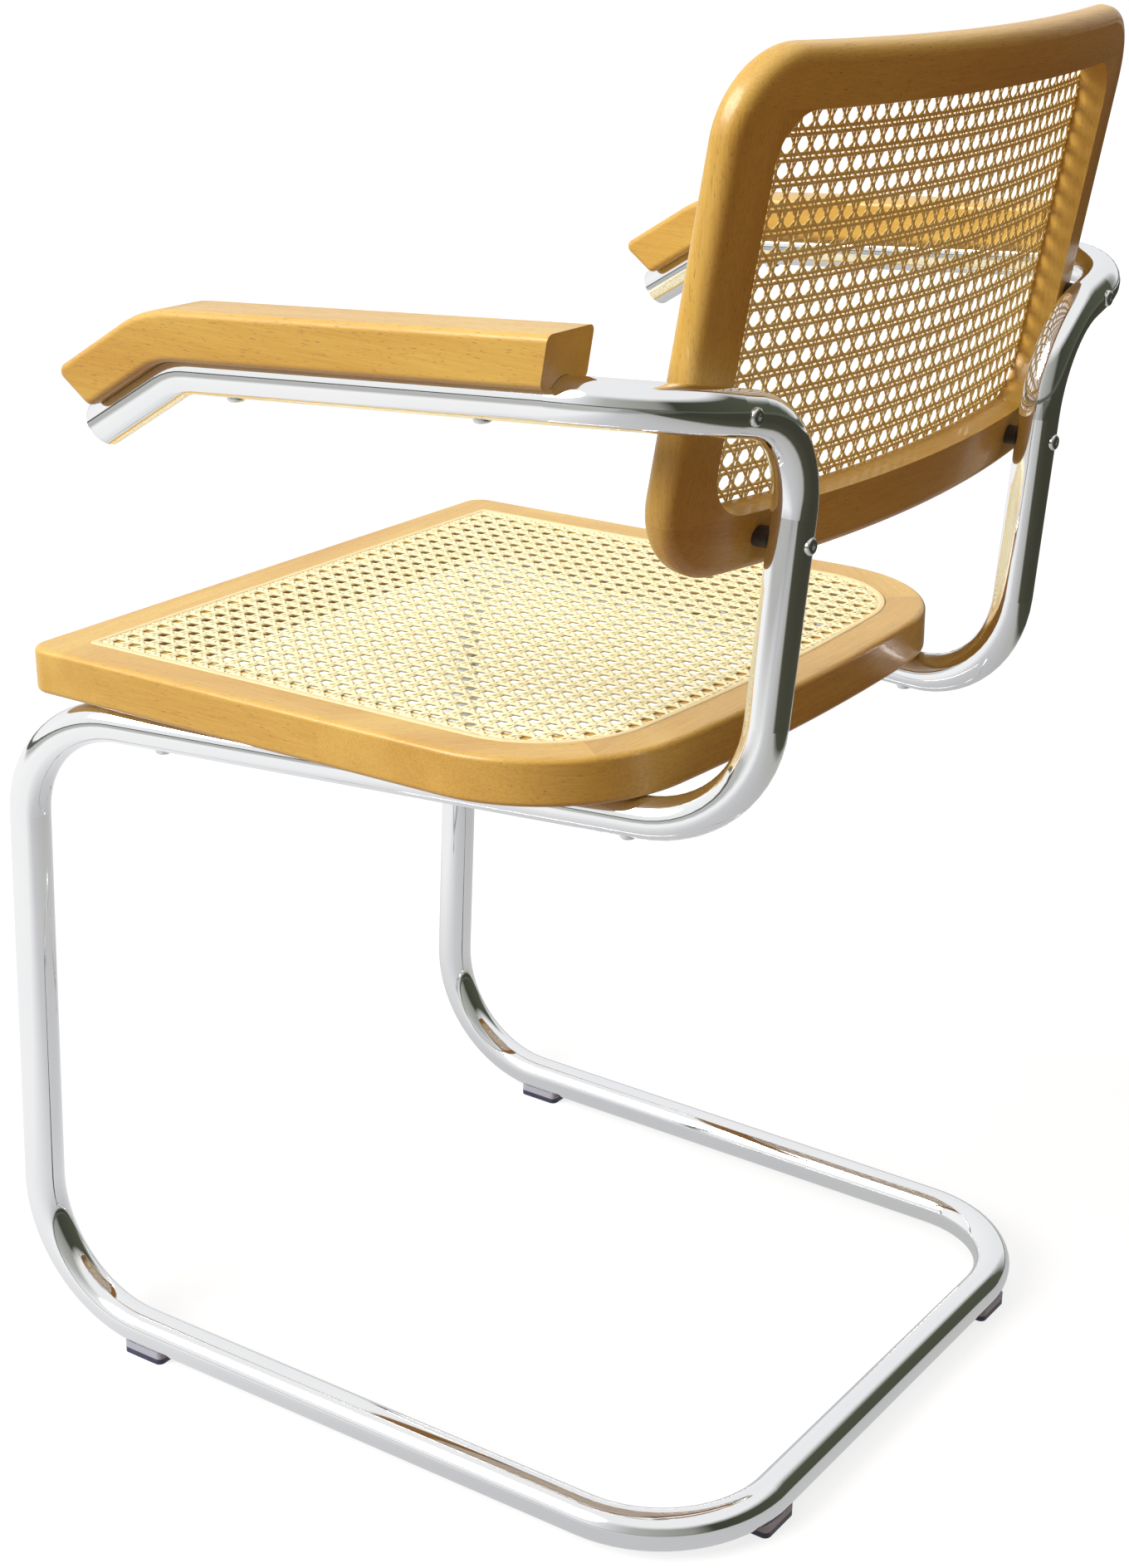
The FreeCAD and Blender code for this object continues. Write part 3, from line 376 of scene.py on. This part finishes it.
# Seat cane
# Open cane webbing, woven by machine from split rattan in six ways: pairs of strands across and
# along with single ones slanting both ways between them. It is stretched damp over the ring's
# rebate, and its ends are wedged in the groove.
def cane(name, pale, deep):
    """Split rattan: a glossy skin with faint lengthwise fibre, and a tone for every strand."""
    material, shader, where = new_finish(name, Roughness=0.4)
    tone = where.node("ShaderNodeAttribute", {"attribute_name": "tone"}, output="Fac")
    mottle = noise(where, 45.0, 3.0)
    fibre = noise(where, 1500.0, 2.0)
    share = (tone * 0.55 + mottle * 0.7 + fibre * 0.3 - 0.3).clamped()
    relief = where.node("ShaderNodeBump", sockets={
        "Strength": 0.3, "Distance": 0.0001, "Height": fibre})
    drive(shader, Base_Color=tint(pale, deep, share), Roughness=fibre * 0.3 + 0.28, Normal=relief)
    return material


def stored(shape, name, value, kind="FLOAT", domain="POINT"):
    """A shape that carries a value under a name."""
    return shape.node("GeometryNodeStoreNamedAttribute", {"data_type": kind, "domain": domain}, {
        "Geometry": shape, "Name": name, "Value": value})


def read(wire, name, kind="FLOAT"):
    """A value that the shape in hand carries."""
    return wire.node("GeometryNodeInputNamedAttribute", {"data_type": kind}, {"Name": name})


def rows_of_beads(start, rows, beads):
    """Rows of beads, still in a heap, where each bead carries its own number and its row's."""
    line = start.node("GeometryNodeCurvePrimitiveLine")
    row = start.node("GeometryNodeResampleCurve", sockets={"Curve": line, "Count": beads})
    row = stored(row, "bead", start.node("GeometryNodeSplineParameter", output="Index"), "INT")
    spots = start.node("GeometryNodeMeshLine", sockets={"Count": rows})
    laid = start.node("GeometryNodeInstanceOnPoints", sockets={"Points": spots, "Instance": row})
    laid = stored(laid, "row", start.node("GeometryNodeInputIndex"), "INT", "INSTANCE")
    return start.node("GeometryNodeRealizeInstances", sockets={"Geometry": laid})


def paired_course(given, bead, row, reach):
    """The place of each bead of strands that lie in pairs, and the way that the strands run.

    A strand has three beads for each pair that it crosses: one on either strand of the pair, over
    the one and under the other, and one halfway to the next pair.
    """
    pitch, gap, lengthwise = given["Pitch"], given["Pair Gap"], given["Heading"]
    cell = (bead / 3).math("FLOOR") - reach
    part = bead.math("MODULO", 3)
    side = row.math("MODULO", 2)
    halfway = part.math("GREATER_THAN", 1.5)
    along = cell * pitch + halfway * pitch * 0.5 + (1 - halfway) * (part - 0.5) * gap
    across = ((row / 2).math("FLOOR") - reach) * pitch + (side - 0.5) * gap
    lift = (1 - halfway) * (1 - part * 2) * (1 - side * 2) * given["Rise"]
    east = along * (1 - lengthwise) + across * lengthwise
    north = across * (1 - lengthwise) + along * lengthwise
    place = bead.node("ShaderNodeCombineXYZ", sockets={"X": east, "Y": north, "Z": lift})
    heading = bead.node("ShaderNodeCombineXYZ", sockets={"X": 1 - lengthwise, "Y": lengthwise})
    return place, heading


def slanting_course(given, bead, row, reach):
    """The same for single strands on a slant, with two beads to each half pitch, by turns above
    the pairs and below them."""
    pitch, slope = given["Pitch"], given["Slope"]
    crossing = (bead / 2).math("FLOOR") - reach
    side = bead.math("MODULO", 2)
    under = crossing.math("FLOORED_MODULO", 2)
    along = crossing * pitch * 0.5 + (side - 0.5) * given["Pair Gap"]
    north = slope * (along - (row - reach + 0.5) * pitch)
    lift = (1 - under * 2) * given["Rise"]
    place = bead.node("ShaderNodeCombineXYZ", sockets={"X": along, "Y": north, "Z": lift})
    heading = bead.node("ShaderNodeCombineXYZ", sockets={"X": 1.0, "Y": slope})
    return place, heading


def trimmed(laid, given, heading, shortest=0.003):
    """Strands cut off at a fence.

    A bead between two walls stays, one just outside is drawn back to the wall, and the others go.
    So do strands that are shorter than the shortest.
    """
    def nearest_wall(way):
        return laid.node("GeometryNodeRaycast", sockets={
            "Target Geometry": given["Geometry"], "Ray Direction": way, "Ray Length": 2.0}).siblings()

    back = laid.node("ShaderNodeVectorMath", {"operation": "SCALE"}, {0: heading, "Scale": -1.0})
    ahead, behind = nearest_wall(heading), nearest_wall(back)
    near = given["Pitch"] * 0.75
    inside = ahead["Is Hit"] * behind["Is Hit"]
    starts = (ahead["Is Hit"] * (1 - behind["Is Hit"])
              * ahead["Hit Distance"].math("LESS_THAN", near))
    ends = (behind["Is Hit"] * (1 - ahead["Is Hit"])
            * behind["Hit Distance"].math("LESS_THAN", near))
    for name, value in (("starts", starts), ("ends", ends), ("stray", 1 - inside - starts - ends)):
        laid = stored(laid, name, value)
    for name, found in (("wall ahead", ahead), ("wall behind", behind)):
        laid = stored(laid, name, found["Hit Position"], "FLOAT_VECTOR")
    for picked, goal in (("starts", "wall ahead"), ("ends", "wall behind")):
        laid = laid.node("GeometryNodeSetPosition", sockets={
            "Geometry": laid, "Selection": read(laid, picked).math("GREATER_THAN", 0.5),
            "Position": read(laid, goal, "FLOAT_VECTOR")})
    laid = laid.node("GeometryNodeDeleteGeometry", {"domain": "POINT"}, {
        "Geometry": laid, "Selection": read(laid, "stray").math("GREATER_THAN", 0.5)})
    short = laid.node("GeometryNodeSplineLength").math("LESS_THAN", shortest)
    return laid.node("GeometryNodeDeleteGeometry", {"domain": "CURVE"}, {
        "Geometry": laid, "Selection": short})


def split_rattan(laid, given, row):
    """The lines of beads made flat strands, each row with a tone of its own."""
    chance = laid.node("FunctionNodeRandomValue", {"data_type": "FLOAT"}, {
        "ID": row, "Seed": 7}, output=1)
    laid = stored(laid, "tone", chance)
    laid = laid.node("GeometryNodeSetCurveNormal", {"mode": "Z_UP"}, {"Curve": laid})
    ring = laid.node("GeometryNodeCurvePrimitiveCircle", {"mode": "RADIUS"}, {
        "Resolution": 6, "Radius": 0.5})
    girth = laid.node("ShaderNodeCombineXYZ", sockets={
        "X": given["Strand Width"], "Y": given["Strand Thickness"], "Z": 1.0})
    ring = laid.node("GeometryNodeTransform", sockets={"Geometry": ring, "Scale": girth})
    return laid.node("GeometryNodeCurveToMesh", sockets={
        "Curve": laid, "Profile Curve": ring, "Fill Caps": True})


def bent(sheet, radius):
    """A flat sheet stood upright and bent round an upright line in front, its top side inwards."""
    spot = sheet.node("GeometryNodeInputPosition")
    u, v, w = sheet.node("ShaderNodeSeparateXYZ", sockets={"Vector": spot}).siblings().values()
    angle = u / radius
    reach = radius - w
    spot = sheet.node("ShaderNodeCombineXYZ", sockets={
        "X": reach * angle.math("SINE"), "Y": reach * angle.math("COSINE") - radius, "Z": v})
    return sheet.node("GeometryNodeSetPosition", sockets={"Geometry": sheet, "Position": spot})


def weave(name, slanting, radius=None, pairs=17):
    """A tree that lays one family of strands inside a fence, the loop of low walls that it is given.

    Pairs is how many pairs are laid each way from the middle. With a radius, the sheet is stood
    upright and bent.
    """
    given = new_tree(
        name, ["Pitch", "Pair Gap", "Strand Width", "Strand Thickness", "Rise", "Slope", "Heading"],
        ["Turn", "Place"])
    start = given["Geometry"]
    reach = pairs * 2 if slanting else pairs
    rows, beads = (2 * reach + 1) * (1 if slanting else 2), (2 * reach + 1) * (2 if slanting else 3)
    laid = rows_of_beads(start, rows, beads)
    bead, row = read(start, "bead", "INT"), read(start, "row", "INT")
    course = slanting_course if slanting else paired_course
    place, heading = course(given, bead, row, reach)
    laid = start.node("GeometryNodeSetPosition", sockets={"Geometry": laid, "Position": place})
    sheet = split_rattan(trimmed(laid, given, heading), given, row)
    if radius:
        sheet = bent(sheet, radius)
    sheet = start.node("GeometryNodeTransform", sockets={
        "Geometry": sheet, "Translation": given["Place"], "Rotation": given["Turn"]})
    return end_tree(sheet, given["Material"])


def fence(line, height=0.01):
    """Low walls that stand on a closed line of points."""
    count = len(line)
    vertices = [(x, y, -height) for x, y in line] + [(x, y, height) for x, y in line]
    faces = [(i, (i + 1) % count, count + (i + 1) % count, count + i) for i in range(count)]
    return vertices, faces


def arc(x, y, radius, first, last, count=10):
    """Points on an arc about a middle, from one angle to another."""
    angles = [first + (last - first) * i / count for i in range(count + 1)]
    return [(x + radius * math.cos(angle), y + radius * math.sin(angle)) for angle in angles]


def families(sheet, lengthwise, straight, slanting, walls, widths, rises, **given):
    """The four families of strands of a sheet: pairs that cross, then single ones on both slants."""
    courses = (
        (lengthwise, straight, widths[0], rises[0], {"Heading": 1.0}),
        ("crosswise", straight, widths[0], -rises[0], {"Heading": 0.0}),
        ("slanting_left", slanting, widths[1], rises[1], {"Slope": 1.0}),
        ("slanting_right", slanting, widths[1], -rises[1], {"Slope": -1.0}))
    return [grown(f"{sheet}_{name}", tree, *walls, Strand_Width=width, Rise=rise, **course, **given)
            for name, tree, width, rise, course in courses]


pitch = 0.0127
cane_depth = 0.00075  # from the wood's face to the middle of the sheet
tuck = 0.0008  # how far the strands reach into the groove
seat_length, seat_front_half, seat_rear_half, seat_bow = 0.4207, 0.224, 0.2268, 0.0154
seat_front_corner, least_corner, seat_rear_corner = 0.014, 0.003, 0.100
seat_border, seat_groove = 0.026, 0.005
seat_front = Vector((0, -0.243283, 0.473375))  # middle of the ring's front edge, on its top


def seat_line(inset):
    """The seat's outline, drawn in by a distance.

    It has arcs for the front corners, the rear corners and the bowed rear edge, with the straight
    front and sides between them.
    """
    outer_bow = (seat_rear_half ** 2 + seat_bow ** 2) / (2 * seat_bow)
    front_radius = max(seat_front_corner - inset, least_corner)
    rear_radius, bow_radius = seat_rear_corner - inset, outer_bow - inset
    front_x, front_y = seat_front_half - inset - front_radius, inset + front_radius
    bow_y = seat_length - outer_bow
    rear_x = seat_rear_half - seat_rear_corner
    rear_y = bow_y + math.sqrt((bow_radius - rear_radius) ** 2 - rear_x ** 2)
    run, rise = rear_x - front_x, rear_y - front_y
    side = math.atan2(rise, run) - math.acos((front_radius - rear_radius) / math.hypot(run, rise))
    turn = math.atan2(rear_y - bow_y, rear_x)
    half = (arc(front_x, front_y, front_radius, -math.pi / 2, side)
            + arc(rear_x, rear_y, rear_radius, side, turn, 16)
            + arc(0, bow_y, bow_radius, turn, math.pi / 2, 12)[:-1])
    return half + [(-x, y) for x, y in reversed(half)]


seat_middle = seat_length / 2
seat_walls = fence([(x, y - seat_middle) for x, y in seat_line(seat_border + seat_groove - tuck)])
seat_lean = Euler((seat_slope, 0, 0))
seat_cane = families(
    "seat_cane", "lengthwise", weave("straight strands", False), weave("slanting strands", True),
    seat_walls, widths=(0.0029, 0.0022), rises=(0.0004, 0.0006),
    Pitch=pitch, Pair_Gap=0.0032, Strand_Thickness=0.0012, Turn=Vector(seat_lean),
    Place=seat_front + seat_lean.to_matrix() @ Vector((0, seat_middle, -cane_depth)),
    Material=cane("seat cane", (0.88, 0.82, 0.54, 1), (0.80, 0.70, 0.40, 1)))
for strands in seat_cane:
    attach(strands, "root")
    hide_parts("seat_cane_panel")


# Seat spline
# A rod of split reed, soaked and hammered into the groove over the ends of the cane, where glue
# and its own swelling hold it. The back's, which is laid in the same way, has the same finish.
reed, shader, where = new_finish("reed spline", Roughness=0.5)
fibre = noise(where, 600.0, 3.0)
blush = noise(where, 25.0, 2.0)
drive(shader,
      Base_Color=tint((0.86, 0.72, 0.42, 1), (0.70, 0.53, 0.26, 1), fibre * 0.5 + blush * 0.5),
      Roughness=fibre * 0.3 + 0.35)
dress(reed, "seat_spline", "back_spline")


# Back cane
# The same webbing, a little finer. It lies in the rebate of the back's front face, bent to its
# curve, and its ends are wedged in the groove too.
back_half, back_sag, back_height, back_thickness = 0.222, 0.0222, 0.2772, 0.019
bottom_rail, top_rail, stile, opening_corner, back_lip = 0.035, 0.030, 0.032, 0.028, 0.009
back_foot = Vector((0, 0.22795, 0.5899))  # middle of the rear face's lower edge
back_lean = Euler((math.radians(-9.3), 0, 0))
forward = back_thickness - cane_depth
cane_radius = (back_half ** 2 + back_sag ** 2) / (2 * back_sag) - forward
past = back_lip + tuck  # from the opening to the ends of the strands
low, high = bottom_rail - past, back_height - top_rail + past
half_tall = (high - low) / 2
half_wide = cane_radius * math.asin((back_half - stile + past) / cane_radius)
corner = opening_corner + past
back_line = []
for quarter, (side, end) in enumerate(((1, 1), (-1, 1), (-1, -1), (1, -1))):
    back_line += arc(side * (half_wide - corner), end * (half_tall - corner), corner,
                     quarter * math.pi / 2, (quarter + 1) * math.pi / 2)
back_cane = families(
    "back_cane", "upright", weave("bent straight strands", False, cane_radius),
    weave("bent slanting strands", True, cane_radius),
    fence(back_line), widths=(0.0021, 0.0016), rises=(0.0002, 0.0004),
    Pitch=pitch, Pair_Gap=0.0028, Strand_Thickness=0.0006, Turn=Vector(back_lean),
    Place=back_foot + back_lean.to_matrix() @ Vector((0, -forward, (low + high) / 2)),
    Material=cane("back cane", (0.98, 0.84, 0.38, 1), (0.86, 0.62, 0.20, 1)))
for strands in back_cane:
    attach(strands, "root")
    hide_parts("back_cane_panel")


# Floor and light
# The chair stands on white paper against white, lit by a window on its left. What shines mirrors
# the rest of the room too, which is dark beyond the paper's slanting rear edge.
def ramp(share, stops):
    """Colours that follow one another as a share grows."""
    return share.node("ShaderNodeValToRGB", {"stops": stops}, {"Fac": share})


def mixed(share, first, second):
    """One shader giving way to another by a share."""
    return share.node("ShaderNodeMixShader", sockets={0: share, 1: first, 2: second})


floor_half = 8
floor_corners = [(x * floor_half, y * floor_half, 0) for x, y in ((-1, -1), (1, -1), (1, 1), (-1, 1))]
floor_mesh = bpy.data.meshes.new("floor")
floor_mesh.from_pydata(floor_corners, [], [(0, 1, 2, 3)])
floor = bpy.data.objects.new("floor", floor_mesh)
bpy.context.scene.collection.objects.link(floor)
paper, shader, where = new_finish("white paper", Roughness=0.9)
sees = where.node("ShaderNodeLightPath").siblings()
mirrored = sees["Is Glossy Ray"]
seen = (sees["Is Camera Ray"] + sees["Is Transmission Ray"]).clamped()
drive(shader, Base_Color=tint((0.24, 0.14, 0.07, 1), (0.30, 0.30, 0.30, 1), seen))

# The mirrored floor runs from white in front to dark behind, and is grey to the chair's left.
spot = where.node("ShaderNodeSeparateXYZ", sockets={"Vector": where}).siblings()
east, north = spot["X"], spot["Y"]
tones = ramp((north - east * 0.6) * 0.25 + 0.5, [
    (0.0, (1.0, 1.0, 1.0)), (0.35, (0.95, 0.95, 0.96)), (0.475, (0.62, 0.62, 0.64)),
    (0.70, (0.46, 0.46, 0.44)), (0.75, (0.07, 0.07, 0.05)), (1.0, (0.05, 0.05, 0.035))])
aside = ((east - 1.4) * 1.5).clamped() * 0.6
room = tint(tones, (0.18, 0.18, 0.16, 1), aside)
glow = where.node("ShaderNodeEmission", sockets={
    "Color": tint((3.8, 3.8, 3.8, 1), room, mirrored), "Strength": 1.0})
surface = mixed((seen * 0.2 + mirrored).math("MINIMUM", 1.0), Wire(where.tree, shader.outputs[0]), glow)
where.tree.links.new(surface.socket, where.tree.nodes["Material Output"].inputs["Surface"])
floor_mesh.materials.append(paper)

world = bpy.data.worlds.new("room")
bpy.context.scene.world = world
world.use_nodes = True
heading = Wire(world.node_tree).node("ShaderNodeTexCoord", output="Generated")
sees = heading.node("ShaderNodeLightPath").siblings()
axes = heading.node("ShaderNodeSeparateXYZ", sockets={"Vector": heading}).siblings()
east, north, height = axes["X"], axes["Y"], axes["Z"]

# The mirrored walls, under a white ceiling, are white in front and on the right, grey on the left
# and dark at the back. A dark skirting runs round them.
walls = ramp(north.math("ARCTAN2", east) / (2 * math.pi) + 0.5, [
    (0.0, (0.85, 0.86, 0.88)), (0.20, (0.95, 0.95, 0.97)), (0.33, (1.0, 1.0, 1.0)),
    (0.46, (0.85, 0.86, 0.88)), (0.54, (0.45, 0.46, 0.44)), (0.66, (0.30, 0.30, 0.27)),
    (0.70, (0.05, 0.055, 0.04)), (0.94, (0.08, 0.09, 0.06)), (0.99, (0.85, 0.86, 0.88))])
above_skirting = ramp(height * 0.5 + 0.5, [
    (0.0, (1.0, 1.0, 1.0)), (0.47, (1.0, 1.0, 1.0)), (0.475, (0.0, 0.0, 0.0)),
    (0.507, (0.0, 0.0, 0.0)), (0.512, (1.0, 1.0, 1.0)), (1.0, (1.0, 1.0, 1.0))])
ceiling = ((height - 0.55) * 5.0).clamped()
room = tint(tint((0.10, 0.11, 0.09, 1), walls, above_skirting), (0.92, 0.92, 0.93, 1), ceiling)

# The soft light is strongest from above, and comes back warm from behind the chair.
above = height.math("MAXIMUM", 0.0)
fill = (above * above * above * 1.5 + 0.16 - north * 0.10).math("MAXIMUM", 0.05)
warm = (north * 1.6 + 0.2 - above).clamped()
soft = heading.node("ShaderNodeBackground", sockets={
    "Color": tint((0.97, 0.99, 1.0, 1), (1.0, 0.45, 0.18, 1), warm), "Strength": fill})
mirror = heading.node("ShaderNodeBackground", sockets={"Color": room, "Strength": 1.0})
white = heading.node("ShaderNodeBackground", sockets={"Color": (1, 1, 1, 1), "Strength": 1.0})
shown = mixed(sees["Is Camera Ray"], mixed(sees["Is Glossy Ray"], soft, mirror), white)
world.node_tree.links.new(shown.socket, world.node_tree.nodes["World Output"].inputs["Surface"])

window = bpy.data.lights.new("window", "SUN")
window.energy = 3.4
window.angle = math.radians(35)
window.color = (1.0, 0.98, 0.94)
sunlight = bpy.data.objects.new("window", window)
bpy.context.scene.collection.objects.link(sunlight)
sunlight.rotation_euler = Vector((-1, 0.6, -0.85)).to_track_quat("-Z", "Y").to_euler()

bpy.context.scene.view_settings.view_transform = "Standard"
